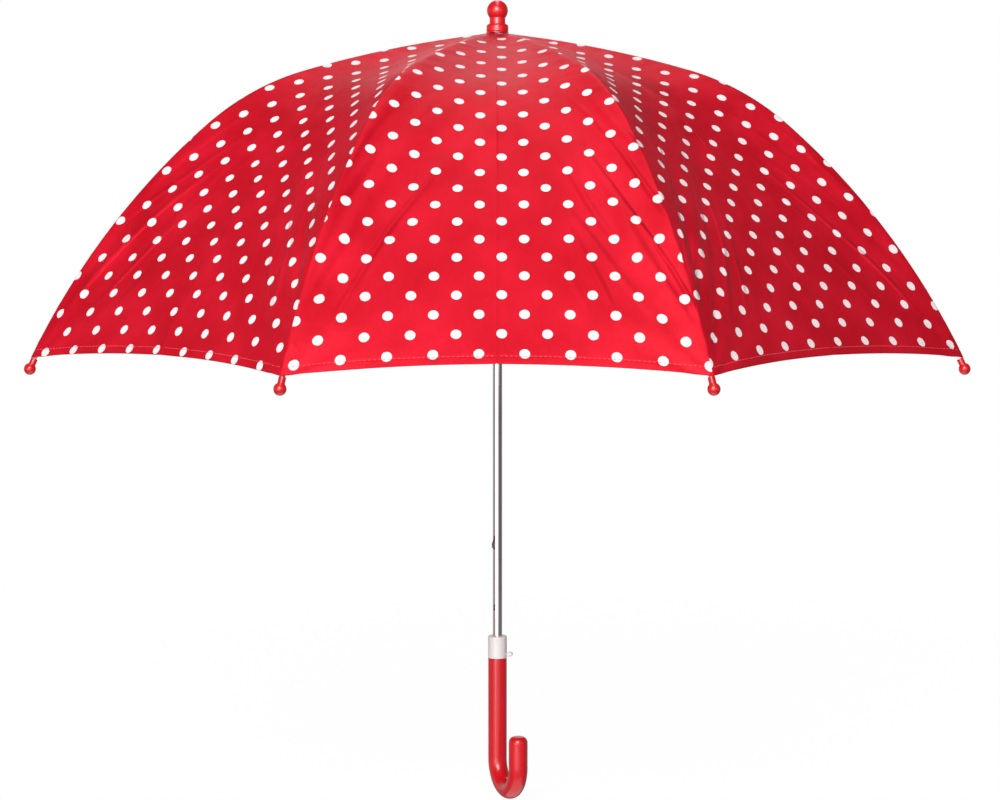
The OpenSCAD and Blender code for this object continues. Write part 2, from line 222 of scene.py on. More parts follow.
def relief(gore, c, s, half):
    """How far the cloth stands off its smooth shape, at c across from mid-gore and s up from the
    hem, where the gore is half wide on each side: crease, seam puckers, corner folds and billow."""
    draw = np.random.default_rng(40 + gore)
    edge = np.maximum(half - np.abs(c), 0)
    crease = CREASE_H * np.exp(-np.abs(c) / CREASE_W) * smooth_step(edge / (25 * MM))
    side = np.where(c > 0, 1.7, 0.0)
    near = edge / PUCKER_W
    wave = sum(np.sin(2 * math.pi * s / (w * MM) + draw.uniform(0, 6.28) + side)
               for w in PUCKER_WAVES)
    pucker = PUCKER_H * wave * near * np.exp(1 - near) * smooth_step(s / (12 * MM))
    # shallow folds that fan out from each corner of the hem
    corner_x, corner_y = edge + 2 * MM, s + 4 * MM
    reach = np.hypot(corner_x, corner_y)
    angle = np.arctan2(corner_y, corner_x)
    fan = CORNER_FOLD_H * np.sin(angle * CORNER_FOLDS + draw.uniform(0, 6.28) + side)
    fan *= (smooth_step(reach / (22 * MM)) * np.exp(-reach / CORNER_FOLD_LEN)
            * smooth_step(edge / (10 * MM)))
    fan = fan + tension(gore, c, s, edge)
    u = np.clip(edge / BILLOW_EDGE, 0, 1)
    billow = BILLOW_H * u * (np.sin(s / 0.031 + draw.uniform(0, 6.28)) * np.cos(c / 0.043)
                             + 0.6 * np.sin(s / 0.067 + c / 0.05 + draw.uniform(0, 6.28)))
    seam_groove = SEAM_GROOVE_H * np.exp(-edge / SEAM_GROOVE_W)
    return crease + pucker + fan + billow * smooth_step(s / 0.03) - seam_groove


def tension(gore, c, s, edge):
    """Long soft folds that the stretched cloth draws up from the lower seams on each side."""
    total = 0
    for side, sign in enumerate((-1, 1)):
        draw = np.random.default_rng(400 + 10 * gore + side)
        strength = TENSION.get((gore, sign), draw.uniform(0.35, 0.8))
        for _ in range(3):
            foot = draw.uniform(-30, 30) * MM
            x, y = np.where(c * sign > 0, edge, 1.0), s - foot
            angle = np.arctan2(x, np.maximum(y, 0.001))
            reach = np.hypot(x, np.maximum(y, 0))
            turn = angle * draw.uniform(9, 15) + draw.uniform(0, 3.14)
            wave = 1 - 2 * np.sqrt(np.sin(turn) ** 2 + 0.03)
            fade = (smooth_step(reach / (60 * MM)) * np.exp(-(reach / TENSION_LEN) ** 2)
                    * smooth_step(edge / (14 * MM)) * smooth_step(y / (30 * MM))
                    * (1 - smooth_step((angle - TENSION_LEAN) / 0.4)))
            total = total + TENSION_H * strength * wave * fade * (c * sign > 0)
    return total


def centre_line(count=400):
    """Arc length up from mid-hem along the middle of a gore, as a table over share."""
    t = np.linspace(CLOTH_TOP, 1, count)
    x, z, slope = rib_at(t)
    level = CLOTH_OUT - dip(t)
    x = (x + level * np.sin(slope)) * math.cos(HALF_GORE)
    z = z + level * np.cos(slope)
    run = np.concatenate([[0], np.cumsum(np.hypot(np.diff(x), np.diff(z)))])
    return t, np.interp(hem_share(0), t, run) - run


CENTRE_T, CENTRE_S = centre_line()


def cloth(gore, t, a, drop=0.0):
    """Points of a gore's cloth for shares t of the rib's length and a from -1 at the seam over the
    gore's own rib to 1 at the next one, drop below the outer face; and (c, s), their place across
    and up the flat cloth from the middle of its hem."""
    t, a = np.broadcast_arrays(np.asarray(t, float), np.asarray(a, float))
    rib_x, rib_z, slope = rib_at(t)
    seam = half_width(rib_x, slope)
    c = a * seam
    # the cloth is drawn down along its seams, so the print's rows hang lower there
    s = np.interp(t, CENTRE_T, CENTRE_S) + DRAWN_DOWN * (t * a) ** 2
    level = CLOTH_OUT - dip(t) * (1 - a ** 2) + relief(gore, c, s, seam) - drop
    out = (rib_x + level * np.sin(slope)) * math.cos(HALF_GORE)
    z = rib_z + level * np.cos(slope)
    azimuth = PITCH * (gore - 1) + HALF_GORE
    x = out * math.cos(azimuth) - c * math.sin(azimuth)
    y = out * math.sin(azimuth) + c * math.cos(azimuth)
    return np.stack([x, y, z], -1), np.stack([c, s], -1)


def chord_frame(points, rib):
    """Points as (along the rib's chord, outwards from it, aside from it), from the rib's hinge."""
    azimuth = PITCH * (rib - 1)
    x = points[..., 0] * math.cos(azimuth) + points[..., 1] * math.sin(azimuth) - HINGE_R
    y = points[..., 1] * math.cos(azimuth) - points[..., 0] * math.sin(azimuth)
    z = points[..., 2] - HINGE_Z
    return (x * math.cos(CHORD) - z * math.sin(CHORD),
            x * math.sin(CHORD) + z * math.cos(CHORD), np.abs(y))


def pleat_weight(points, middle, rib):
    """How much of the half-gore's turn each point takes, so that the seam stays on the rib and
    the middle line meets the next half-gore when the umbrella is folded. middle is, for each
    point, the point in mid-gore that it lies level with."""
    _, q, v = chord_frame(points, rib)
    along, q_mid, v_mid = chord_frame(middle, rib)
    down = CHORD + FOLD
    tangent = math.tan(HALF_GORE)
    lean = math.atan(tangent * math.sin(down))
    start = tangent * (HINGE_R + along * math.cos(down)) * math.cos(lean)
    folded = lean + np.arcsin(np.clip(start / np.maximum(np.hypot(q_mid, v_mid), 1e-6), -1, 1))
    open_mid = np.arctan2(v_mid, q_mid)
    turn = np.arctan2(v, q) * (1 - np.minimum(folded / np.maximum(open_mid, 1e-6), 1))
    return np.clip(turn / WING, 0, 1.2)


def hang_between(obj, weights):
    """Bakes the piece's placement into its mesh; the weights are not used."""
    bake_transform(obj)


# the cloth's first rows, in millimetres from the hem, are close where it is turned and stitched
ROWS_FROM_HEM = [0, 0.5, 1.3, 2.5, 3.8, 4.7, 5.1, 5.4, 5.7, 6.1, 6.7, 7.3, 8.5, 11, 14]
ROW_STEP = 4.2 * MM
GORE_COLS = 34


def gore_rows():
    """Shares of the way from the top edge to the hem, finer near the hem."""
    length = RIB_LEN * (CLOTH_END - CLOTH_TOP)
    near = [d * MM for d in ROWS_FROM_HEM]
    rest = np.linspace(near[-1], length, round((length - near[-1]) / ROW_STEP))[1:]
    return 1 - np.array(near + list(rest)) / length


def half_gore(rib, side):
    """One half-gore, from the seam over a rib to the crease in mid-gore, with its hem stitches.
    Returns it with its flat width, length and area."""
    gore, sign = (rib, -1) if side == "left" else (gore_before(rib), 1)
    f = gore_rows()[:, None]
    u = np.linspace(0, 1, GORE_COLS)
    a = (1 - np.cos(math.pi * u)) / 2           # 0 in mid-gore, 1 at the seam
    share = cloth_share(f, a)
    from_hem = (hem_share(a) - share) * RIB_LEN
    hem = 1 - smooth_step((from_hem - HEM_W + 0.4 * MM) / (0.6 * MM))
    groove = GROOVE * np.exp(-((from_hem - STITCH_AT) / (0.5 * MM)) ** 2)
    outer, fabric = cloth(gore, share, sign * a, groove)
    inner, _ = cloth(gore, share, sign * a, CLOTH_T + HEM_T * hem)
    middle, _ = cloth(gore, cloth_share(f, 0) + 0 * a, 0 * share)
    rows, cols = share.shape
    faces, n_outer = shell(rows, cols)
    if sign < 0:
        faces = [face[::-1] for face in faces]
    points = np.concatenate([outer.reshape(-1, 3), inner.reshape(-1, 3)])
    cloth_uv = np.concatenate([fabric.reshape(-1, 2)] * 2)
    mids = np.concatenate([middle.reshape(-1, 3)] * 2)
    weights = pleat_weight(points, mids, rib)

    threads, thread_faces, thread_weights = hem_stitches(gore, sign, rib, len(points))
    everything = np.concatenate([points, threads])
    obj = new_mesh(f"gore_cloth_{rib}_{side}", everything, faces + thread_faces)
    mesh = obj.data
    lay_uv(mesh, np.concatenate([cloth_uv, np.zeros((len(threads), 2))]))
    kinds = ([0] * n_outer + [1] * (len(faces) - n_outer) + [2] * len(thread_faces))
    mesh.materials.append(CLOTH[gore])
    mesh.materials.append(CLOTH_INSIDE[gore])
    mesh.materials.append(THREAD)
    mesh.polygons.foreach_set("material_index", kinds)
    hang_between(obj, np.concatenate([weights, thread_weights]))
    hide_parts(f"canopy_{rib}_{side}")
    width = float(np.abs(fabric[..., 0]).max())
    length = float(np.ptp(fabric[..., 1]))
    tall = np.abs(np.diff(fabric[..., 1], axis=0))[:, :-1]
    wide = np.abs(np.diff(fabric[..., 0], axis=1))[:-1]
    return obj, width, length, float((tall * wide).sum())


STITCH_LEN = 2.3 * MM
STITCH_PITCH = 3.1 * MM
THREAD_R = 0.2 * MM
THREAD_SIDES = 6


def hem_stitches(gore, sign, rib, first):
    """Lock stitches along the hem: short threads that lie on the cloth. Returns their points,
    their faces, with first as the number of the first point, and the points' weights."""
    width = TIP_RADIUS * math.sin(HALF_GORE)
    points, faces, mids = [], [], []
    for c in np.arange(STITCH_PITCH, width - 3 * MM, STITCH_PITCH):
        a = (np.array([-0.5, -0.3, 0.3, 0.5]) * STITCH_LEN + c) / width     # of the four rings
        share = hem_share(a) - STITCH_AT / RIB_LEN
        lift = np.array([-0.15, 0.1, 0.1, -0.15]) * MM
        axis, _ = cloth(gore, share, sign * a, GROOVE - lift)
        above, _ = cloth(gore, share, sign * a, -1 * MM)
        below, _ = cloth(gore, share + 1 * MM / RIB_LEN, sign * a)
        flat, _ = cloth(gore, share, sign * a)
        out = (above - flat) / np.linalg.norm(above - flat, axis=1)[:, None]
        along = (below - flat) / np.linalg.norm(below - flat, axis=1)[:, None]
        level, _ = cloth(gore, np.full(4, hem_share(0) - STITCH_AT / RIB_LEN), np.zeros(4))
        base = first + len(points)
        for k in range(4):
            radius = THREAD_R * (0.5 if k in (0, 3) else 1)
            for n in range(THREAD_SIDES):
                turn = 2 * math.pi * n / THREAD_SIDES
                points.append(axis[k] + radius * (math.cos(turn) * out[k]
                                                  + math.sin(turn) * along[k]))
                mids.append(level[k])
        for k in range(3):
            here = base + THREAD_SIDES * k
            for n in range(THREAD_SIDES):
                m = (n + 1) % THREAD_SIDES
                quad = (here + n, here + m, here + THREAD_SIDES + m, here + THREAD_SIDES + n)
                faces.append(quad if sign > 0 else quad[::-1])
        start, end = (tuple(base + THREAD_SIDES * k + n for n in range(THREAD_SIDES))
                      for k in (0, 3))
        faces.append(start[::-1] if sign > 0 else start)
        faces.append(end if sign > 0 else end[::-1])
    points, mids = np.array(points), np.array(mids)
    return points, faces, pleat_weight(points, mids, rib)


# ---- materials ----

class Wiring:
    """Helpers to add and link the nodes of one tree, which starts empty."""

    def __init__(self, tree):
        self.tree = tree
        tree.nodes.clear()

    def add(self, kind, **settings):
        node = self.tree.nodes.new(kind)
        for key, value in settings.items():
            setattr(node, key, value)
        return node

    def put(self, socket, value):
        """Links an output to the socket, or sets it to a constant."""
        if hasattr(value, "is_output"):
            self.tree.links.new(value, socket)
        else:
            socket.default_value = value

    def math(self, operation, *values):
        node = self.add("ShaderNodeMath", operation=operation)
        for socket, value in zip(node.inputs, values):
            self.put(socket, value)
        return node.outputs[0]

    def ramp(self, value, low, high, to_low=0.0, to_high=1.0):
        """A smooth change from to_low at low to to_high at high."""
        node = self.add("ShaderNodeMapRange", interpolation_type="SMOOTHSTEP")
        for socket, v in zip(node.inputs, (value, low, high, to_low, to_high)):
            self.put(socket, v)
        return node.outputs[0]


class Nodes(Wiring):
    """A material with one Principled shader."""

    def __init__(self, name):
        self.material = bpy.data.materials.new(name)
        self.material.use_nodes = True
        super().__init__(self.material.node_tree)
        out = self.add("ShaderNodeOutputMaterial")
        self.shader = self.add("ShaderNodeBsdfPrincipled")
        self.put(out.inputs[0], self.shader.outputs[0])

    def noise(self, vector, scale, detail=2.0, rough=0.5):
        node = self.add("ShaderNodeTexNoise")
        self.put(node.inputs["Vector"], vector)
        node.inputs["Scale"].default_value = scale
        node.inputs["Detail"].default_value = detail
        node.inputs["Roughness"].default_value = rough
        return node.outputs["Fac"]

    def mix(self, factor, one, two):
        node = self.add("ShaderNodeMix", data_type="RGBA")
        self.put(node.inputs[0], factor)
        self.put(node.inputs[6], one)
        self.put(node.inputs[7], two)
        return node.outputs[2]

    def place(self):
        return self.add("ShaderNodeTexCoord").outputs["Object"]

    def stretch(self, vector, scale):
        node = self.add("ShaderNodeMapping")
        self.put(node.inputs["Vector"], vector)
        node.inputs["Scale"].default_value = scale
        return node.outputs[0]

    def bump(self, height, distance, strength=1.0, onto=None):
        node = self.add("ShaderNodeBump")
        node.inputs["Strength"].default_value = strength
        node.inputs["Distance"].default_value = distance
        self.put(node.inputs["Height"], height)
        if onto is not None:
            self.put(node.inputs["Normal"], onto)
        return node.outputs[0]

    def set(self, **values):
        for key, value in values.items():
            self.put(self.shader.inputs[key.replace("_", " ")], value)


DOT_PITCH = 28.6 * MM           # between dots of one row, and of one column
DOT_R = 3.3 * MM
DOT_EDGE = 0.18 * MM
PRINT_WANDER = 0.35 * MM
THROUGH = 0.45                  # how much of a dot's white shows on the inside
WARP, WEFT = 0.33 * MM, 0.40 * MM
# where a gore's print starts, in millimetres across and up from the middle of its hem
PRINT_START = {N_RIBS: (3.0, 21.3), N_RIBS - 1: (-6.0, 3.5), 1: (10.0, 9.5)}
RED = (0.64, 0.0080, 0.026, 1)
DEEP_RED = (0.51, 0.0042, 0.015, 1)
# a lighter red for the inside: painted light, in place of the light that comes through the thin
# cloth
INSIDE_PAINTED_LIGHT_RED = (0.75, 0.03, 0.05, 1)
WHITE = (0.80, 0.71, 0.72, 1)


def drawn_creases(n, c, s, gore, sign):
    """Height of the soft straight creases that slant up from one corner of the hem."""
    lean = 0.47             # radians from straight up the gore
    inward = n.math("MULTIPLY", c, -sign)
    across = n.math("SUBTRACT", n.math("MULTIPLY", inward, math.cos(lean)),
                    n.math("MULTIPLY", s, math.sin(lean)))
    along = n.math("ADD", n.math("MULTIPLY", inward, math.sin(lean)),
                   n.math("MULTIPLY", s, math.cos(lean)))
    place = n.add("ShaderNodeCombineXYZ")
    stretched = (n.math("MULTIPLY", across, 42), n.math("MULTIPLY", along, 5), 7.3 * gore + sign)
    for socket, value in zip(place.inputs, stretched):
        n.put(socket, value)
    wander = n.math("ABSOLUTE", n.math("SUBTRACT", n.noise(place.outputs[0], 1.0, 1.0), 0.5))
    line = n.ramp(wander, 0.0, 0.08)
    from_corner = n.math("ADD", inward, TIP_RADIUS * math.sin(HALF_GORE))
    near = n.math("MULTIPLY", n.ramp(from_corner, 0.115, 0.06), n.ramp(s, 0.025, 0.06))
    near = n.math("MULTIPLY", near, n.ramp(s, 0.24, 0.14))
    strength = min(TENSION.get((gore, sign), 0.5), 1.0)
    return n.math("MULTIPLY", line, n.math("MULTIPLY", near, strength))


def cloth_material(name, gore, inside):
    """Satin-woven polyester, printed with rows of white dots that are set half a step apart."""
    n = Nodes(name)
    draw = np.random.default_rng(70 + gore)
    start = PRINT_START.get(gore, (draw.uniform(-10, 10), draw.uniform(0, 28)))
    shift_c, shift_s = float(start[0]) * MM, float(start[1]) * MM
    uv = n.add("ShaderNodeUVMap", uv_map="cloth").outputs[0]
    split = n.add("ShaderNodeSeparateXYZ")
    n.put(split.inputs[0], uv)
    c, s = split.outputs[0], split.outputs[1]
    # the print wanders a little, and each dot's edge is slightly uneven
    wobble = n.math("MULTIPLY", n.math("SUBTRACT", n.noise(uv, 900), 0.5), PRINT_WANDER)

    def to_nearest(value, offset):
        steps = n.math("DIVIDE", n.math("SUBTRACT", value, offset), DOT_PITCH)
        return n.math("MULTIPLY", n.math("SUBTRACT", steps, n.math("ROUND", steps)), DOT_PITCH)

    def lattice(dc, ds):
        """Distance to the nearest dot of a square lattice."""
        x, y = to_nearest(c, dc), to_nearest(s, ds)
        return n.math("SQRT", n.math("ADD", n.math("MULTIPLY", x, x), n.math("MULTIPLY", y, y)))

    one = lattice(shift_c, shift_s)
    two = lattice(shift_c + DOT_PITCH / 2, shift_s + DOT_PITCH / 2)
    distance = n.math("ADD", n.math("MINIMUM", one, two), wobble)
    dot = n.ramp(distance, DOT_R + DOT_EDGE, DOT_R - DOT_EDGE)
    if inside:
        dot = n.math("MULTIPLY", dot, THROUGH)

    tone = n.ramp(n.noise(uv, 22, 3), 0.3, 0.75)
    slub = n.noise(n.stretch(uv, (220, 3200, 1)), 1.0, 2)
    red = n.mix(tone, DEEP_RED, RED)
    red = n.mix(n.math("MULTIPLY", n.ramp(slub, 0.35, 0.7), 0.30), red, DEEP_RED)
    # the inside is painted a quarter of the way to a lighter red: painted light in place of light
    # through the cloth
    if inside:
        red = n.mix(0.25, red, INSIDE_PAINTED_LIGHT_RED)
    n.set(Base_Color=n.mix(dot, red, WHITE))

    # the weave's diagonal: each weft thread lies a little lower than the one beside it
    def threads(value, pitch):
        return n.math("SINE", n.math("MULTIPLY", value, 2 * math.pi / pitch))

    slanted = n.math("ADD", s, n.math("MULTIPLY", c, 0.25))
    twill = n.math("ADD", threads(c, WARP), n.math("MULTIPLY", threads(slanted, WEFT), 0.7))
    crumple = n.noise(n.stretch(uv, (60, 38, 1)), 1.0, 4, 0.6)
    normal = n.bump(crumple, 1.1 * MM, 0.55)
    for sign in (-1, 1):
        normal = n.bump(drawn_creases(n, c, s, gore, sign), 1.6 * MM, 1.0, normal)
    normal = n.bump(twill, 0.02 * MM, 0.5, normal)
    normal = n.bump(dot, 0.03 * MM, 0.5, normal)
    gloss = n.math("ADD", n.math("MULTIPLY", tone, 0.08), 0.46 if not inside else 0.5)
    n.set(Normal=normal, Roughness=n.math("ADD", gloss, n.math("MULTIPLY", dot, 0.08)),
          Metallic=n.math("MULTIPLY", n.math("SUBTRACT", 1.0, dot), 0.24))
    n.shader.inputs["Specular IOR Level"].default_value = 0.12
    n.shader.inputs["Sheen Weight"].default_value = 0.08
    n.shader.inputs["Sheen Roughness"].default_value = 0.3
    n.shader.inputs["Sheen Tint"].default_value = (1.0, 0.2, 0.3, 1)
    n.shader.inputs["Anisotropic"].default_value = 0.4
    return n.material


def plastic(name, colour, worn, rough=0.16, coat=0.5):
    """Moulded plastic: faint orange peel, flow marks, and fine handling scratches."""
    n = Nodes(name)
    where = n.place()
    flow = n.noise(where, 45, 3)
    scratch = n.noise(n.stretch(where, (900, 900, 60)), 1.0, 3, 0.7)
    marks = n.ramp(scratch, 0.62, 0.72)
    n.set(Base_Color=n.mix(n.math("MULTIPLY", n.ramp(flow, 0.35, 0.7), 0.35), colour, worn))
    n.set(Roughness=n.math("ADD", n.math("MULTIPLY", marks, 0.12),
                           n.math("ADD", n.math("MULTIPLY", flow, 0.08), rough - 0.04)))
    peel = n.bump(n.noise(where, 420, 2), 0.05 * MM, 0.35)
    n.set(Normal=n.bump(marks, 0.01 * MM, 0.4, peel))
    n.shader.inputs["Coat Weight"].default_value = coat
    n.shader.inputs["Coat Roughness"].default_value = 0.14
    return n.material


def metal(name, colour, dull, rough, grain=(30, 30, 1800), amount=0.12, haze=0.10):
    """Plated or bare steel: drawing lines along the part, dull patches and rubbed spots."""
    n = Nodes(name)
    where = n.place()
    lines = n.noise(n.stretch(where, grain), 1.0, 3, 0.65)
    patch = n.ramp(n.noise(where, 38, 4, 0.6), 0.42, 0.68)
    n.set(Base_Color=n.mix(n.math("MULTIPLY", patch, 0.5), colour, dull), Metallic=1.0)
    n.set(Roughness=n.math("ADD", n.math("MULTIPLY", lines, amount),
                           n.math("ADD", n.math("MULTIPLY", patch, haze), rough - amount / 2)))
    n.set(Normal=n.bump(lines, 0.01 * MM, 0.5))
    return n.material


def thread_material():
    """Sewing thread, a shade lighter than the cloth."""
    n = Nodes("sewing_thread")
    ply = n.noise(n.stretch(n.place(), (3000, 3000, 3000)), 1.0, 2)
    n.set(Base_Color=n.mix(ply, (0.50, 0.01, 0.03, 1), (0.85, 0.06, 0.10, 1)), Roughness=0.55)
    n.set(Normal=n.bump(ply, 0.05 * MM, 0.5))
    n.shader.inputs["Sheen Weight"].default_value = 0.4
    return n.material


CLOTH = {g: cloth_material(f"satin_{g}", g, False) for g in RIBS}
CLOTH_INSIDE = {g: cloth_material(f"satin_inside_{g}", g, True) for g in RIBS}
THREAD = thread_material()
RED_PLASTIC = plastic("red_plastic", (0.58, 0.007, 0.013, 1), (0.48, 0.006, 0.011, 1), 0.30, 0.4)
WHITE_PLASTIC = plastic("white_plastic", (0.76, 0.73, 0.73, 1), (0.68, 0.65, 0.64, 1), 0.3, 0.2)
BLACK_PLASTIC = plastic("black_plastic", (0.018, 0.018, 0.02, 1), (0.04, 0.04, 0.042, 1), 0.35, 0.1)
CHROME = metal("shaft_steel", (0.80, 0.79, 0.79, 1), (0.66, 0.64, 0.64, 1), 0.08,
               amount=0.05, haze=0.03)
ZINC = metal("rib_steel", (0.62, 0.64, 0.67, 1), (0.45, 0.46, 0.47, 1), 0.34, (300, 300, 300), 0.2)
SPRING = metal("spring_steel", (0.55, 0.55, 0.57, 1), (0.35, 0.35, 0.37, 1), 0.28)


def paint(material, *nodes):
    """Gives CAD nodes a material in place of their plain one."""
    for name in nodes:
        mesh = NODES[name].data
        mesh.materials.clear()
        mesh.materials.append(material)


paint(RED_PLASTIC, "handle", "ferrule", "top_cap", *[f"tip_{i}" for i in RIBS])
paint(WHITE_PLASTIC, "collar", "runner")
paint(BLACK_PLASTIC, "notch")
paint(CHROME, "shaft")
paint(ZINC, "notch_wire", "notch_pin", "runner_wire", "runner_stop",
      *[f"rib_{i}" for i in RIBS], *[f"stretcher_{i}" for i in RIBS])
paint(SPRING, "upper_catch", "lower_catch")


# ---- seam allowances under the cloth ----

TAPE_W = 4.2 * MM
TAPE_NARROW = 1.9 * MM      # where it has to pass a stretcher's fork
TAPE_TOP, TAPE_END = 0.014, 0.962       # shares of the rib's length
TAPE_ROWS = 120
TAPE_FACES = 0.12 * MM, 0.32 * MM       # below the cloth's inner face
TIES_AT = 0.30, 0.70                    # shares of the rib's length


def seam_tape(rib):
    """The two cut edges of a seam, pressed open under the cloth, and the threads that tie the
    cloth to its rib."""
    t = np.linspace(TAPE_TOP, TAPE_END, TAPE_ROWS)[:, None]
    rib_x, _, slope = rib_at(t)
    seam = half_width(rib_x, slope)
    clear = smooth_step((np.abs(t - RIVET_SHARE) - 0.012) / 0.03)
    width = np.minimum(TAPE_NARROW + (TAPE_W - TAPE_NARROW) * clear, 0.6 * seam)
    columns = np.array([-1, -0.6, -0.15, 0, 0.15, 0.6, 1])
    v = columns * width
    fray = 0.10 * MM * np.sin(t * 260 + rib) * np.abs(v) / TAPE_W

    def layer(drop):
        own, _ = cloth(rib, t, -1 + np.maximum(v, 0) / seam, drop + fray)
        before, _ = cloth(gore_before(rib), t, 1 - np.maximum(-v, 0) / seam, drop + fray)
        return np.where((v > 0)[..., None], own, before).reshape(-1, 3)

    faces, _ = shell(TAPE_ROWS, len(columns))
    points = [np.concatenate([layer(CLOTH_T + drop) for drop in TAPE_FACES])]
    count = len(points[0])
    for share in TIES_AT:
        loop, loop_faces = tie_thread(rib, share, count)
        points.append(loop)
        faces = faces + loop_faces
        count += len(loop)
    obj = new_mesh(f"seam_allowance_{rib}", np.concatenate(points), faces)
    obj.data.materials.append(SEAM)
    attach(obj, f"rib_{rib}")
    return obj


def tie_thread(rib, share, first):
    """Three turns of thread round the rib's channel."""
    x, z, slope = (float(value) for value in rib_at(share))
    azimuth = PITCH * (rib - 1)
    out = np.array([math.cos(azimuth), math.sin(azimuth), 0])
    aside = np.array([-math.sin(azimuth), math.cos(azimuth), 0])
    along = out * math.cos(slope) - np.array([0, 0, math.sin(slope)])
    over = out * math.sin(slope) + np.array([0, 0, math.cos(slope)])
    foot = out * x + np.array([0, 0, z])
    points, faces = [], []
    rings, sides = 14, 6
    for turn in range(3):
        faces += torus_faces(rings, sides, first + len(points))
        for i in range(rings):
            w = 2 * math.pi * i / rings
            # a rounded square just outside the channel
            reach = (abs(math.cos(w)) ** 4 + abs(math.sin(w)) ** 4) ** -0.25
            spoke = math.cos(w) * aside + math.sin(w) * over
            middle = foot + spoke * reach * 1.5 * MM + along * (turn - 1) * 0.45 * MM
            for k in range(sides):
                q = 2 * math.pi * k / sides
                points.append(middle + THREAD_R * (math.cos(q) * spoke + math.sin(q) * along))
    return np.array(points), faces


def seam_material():
    """The cloth's cut edges, without print."""
    n = Nodes("seam_cloth")
    where = n.place()
    weave = n.noise(n.stretch(where, (2600, 2600, 2600)), 1.0, 2)
    tone = n.noise(where, 60, 3)
    n.set(Base_Color=n.mix(tone, DEEP_RED, RED), Roughness=0.55,
          Normal=n.bump(weave, 0.04 * MM, 0.6))
    n.shader.inputs["Sheen Weight"].default_value = 0.35
    return n.material


SEAM = seam_material()
tapes = {i: seam_tape(i) for i in RIBS}


# ---- closing strap and its ring, on the left half-gore of rib 4 ----

STRAP_RIB = 4
STRAP_TOP, STRAP_END = 0.66, 0.90       # shares of the rib's length
STRAP_A = 0.45                          # of the way from mid-gore to the seam
STRAP_W = 10.2 * MM
STRAP_T = 0.4 * MM
RING_R, RING_WIRE = 7 * MM, 0.85 * MM
RING_UP = 1.75 * MM                     # middle of the ring's wire above the cloth
UNDER, OVER = 0.35 * MM, 0.85 * MM      # middles of the strap's two layers above the cloth


def strap_weights(points, a, share):
    """The same share of the half-gore's turn as the cloth underneath."""
    f = (share - CLOTH_TOP) / (hem_share(a) - CLOTH_TOP)
    middle, _ = cloth(STRAP_RIB, cloth_share(f, 0), 0 * a)
    return pleat_weight(points, middle, STRAP_RIB)


def strap_path():
    """Middle of the ribbon as (distance down the cloth, height over it): down underneath, round
    the ring's wire, and back up on top to where both layers are sewn to the canopy."""
    length = (STRAP_END - STRAP_TOP) * RIB_LEN
    turn = RING_WIRE + 0.15 * MM + STRAP_T / 2

    def rise(d, low, high, reach):
        return low + (high - low) * smooth_step((d - length + reach) / reach)

    under = [(d, rise(d, UNDER, RING_UP - turn, 8 * MM)) for d in np.linspace(0, length, 26)]
    bend = [(length + turn * math.sin(w), RING_UP - turn * math.cos(w))
            for w in np.linspace(0, math.pi, 10)[1:-1]]
    over = [(d, rise(d, OVER, RING_UP + turn, 9 * MM)) for d in np.linspace(length, 0, 26)]
    return np.array(under + bend + over)


def tie_strap():
    """The ribbon along its path, one layer of points on each face. Returns it with its length."""
    path = strap_path()
    step = np.gradient(path, axis=0)
    normal = np.stack([-step[:, 1], step[:, 0]], 1) / np.linalg.norm(step, axis=1)[:, None]
    across = np.linspace(-0.5, 0.5, 7) * STRAP_W
    stitched = 0.06 * MM * np.cos(across / STRAP_W * 2 * math.pi * 2.5)     # rows of stitching
    layers = []
    for face in (1, -1):
        along = path[:, :1] + face * normal[:, :1] * (STRAP_T / 2) + 0 * across
        lift = path[:, 1:] + face * normal[:, 1:] * (STRAP_T / 2 + stitched)
        share = STRAP_TOP + along / RIB_LEN
        rib_x, _, slope = rib_at(share)
        a = STRAP_A + across / half_width(rib_x, slope)
        points, _ = cloth(STRAP_RIB, share, -a, -lift)
        layers.append((points.reshape(-1, 3), a.ravel(), share.ravel()))
    faces, _ = shell(len(path), len(across))
    points, a, share = (np.concatenate(parts) for parts in zip(*layers))
    obj = new_mesh("strap_ribbon", points, faces)
    run = np.cumsum(np.concatenate([[0], np.linalg.norm(np.diff(path, axis=0), axis=1)]))
    flat = np.stack(np.broadcast_arrays(across, run[:, None]), -1).reshape(-1, 2)
    lay_uv(obj.data, np.concatenate([flat, flat]))
    obj.data.materials.append(CLOTH[STRAP_RIB])
    hang_between(obj, strap_weights(points, a, share))
    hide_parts("tie_strap")
    return obj, float(run[-1])


def strap_ring():
    """A moulded ring, held in the strap's loop."""
    share = STRAP_END + np.array([0, 2 * RING_R]) / RIB_LEN
    foot, _ = cloth(STRAP_RIB, share, -STRAP_A, 0)
    aside, _ = cloth(STRAP_RIB, share[:1], -STRAP_A - 0.05, 0)
    along = (foot[1] - foot[0]) / np.linalg.norm(foot[1] - foot[0])
    out = np.cross(along, aside[0] - foot[0])
    out /= np.linalg.norm(out)
    out = out if out[2] > 0 else -out
    aside = np.cross(out, along)
    centre = foot[0] + out * RING_UP + along * RING_R
    points = []
    major, minor = 72, 16
    for i in range(major):
        w = 2 * math.pi * i / major
        spoke = math.cos(w) * along + math.sin(w) * aside
        for k in range(minor):
            q = 2 * math.pi * k / minor
            # a raised moulding line runs round the outside
            r = RING_WIRE * (1 + 0.05 * math.exp(-(math.sin(q) / 0.2) ** 2) * (math.cos(q) > 0))
            points.append(centre + spoke * (RING_R + r * math.cos(q)) + out * r * math.sin(q))
    obj = new_mesh("closing_ring", points, torus_faces(major, minor))
    obj.data.materials.append(WHITE_PLASTIC)
    weight = strap_weights(foot[:1], np.array([STRAP_A]), share[:1])[0]
    hang_between(obj, np.full(len(points), weight))
    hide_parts("strap_ring")
    return obj


strap, strap_length = tie_strap()
ring = strap_ring()

for i in RIBS:
    for side in ("left", "right"):
        gore, width, length, area = half_gore(i, side)


# ---- camera, light and floor ----

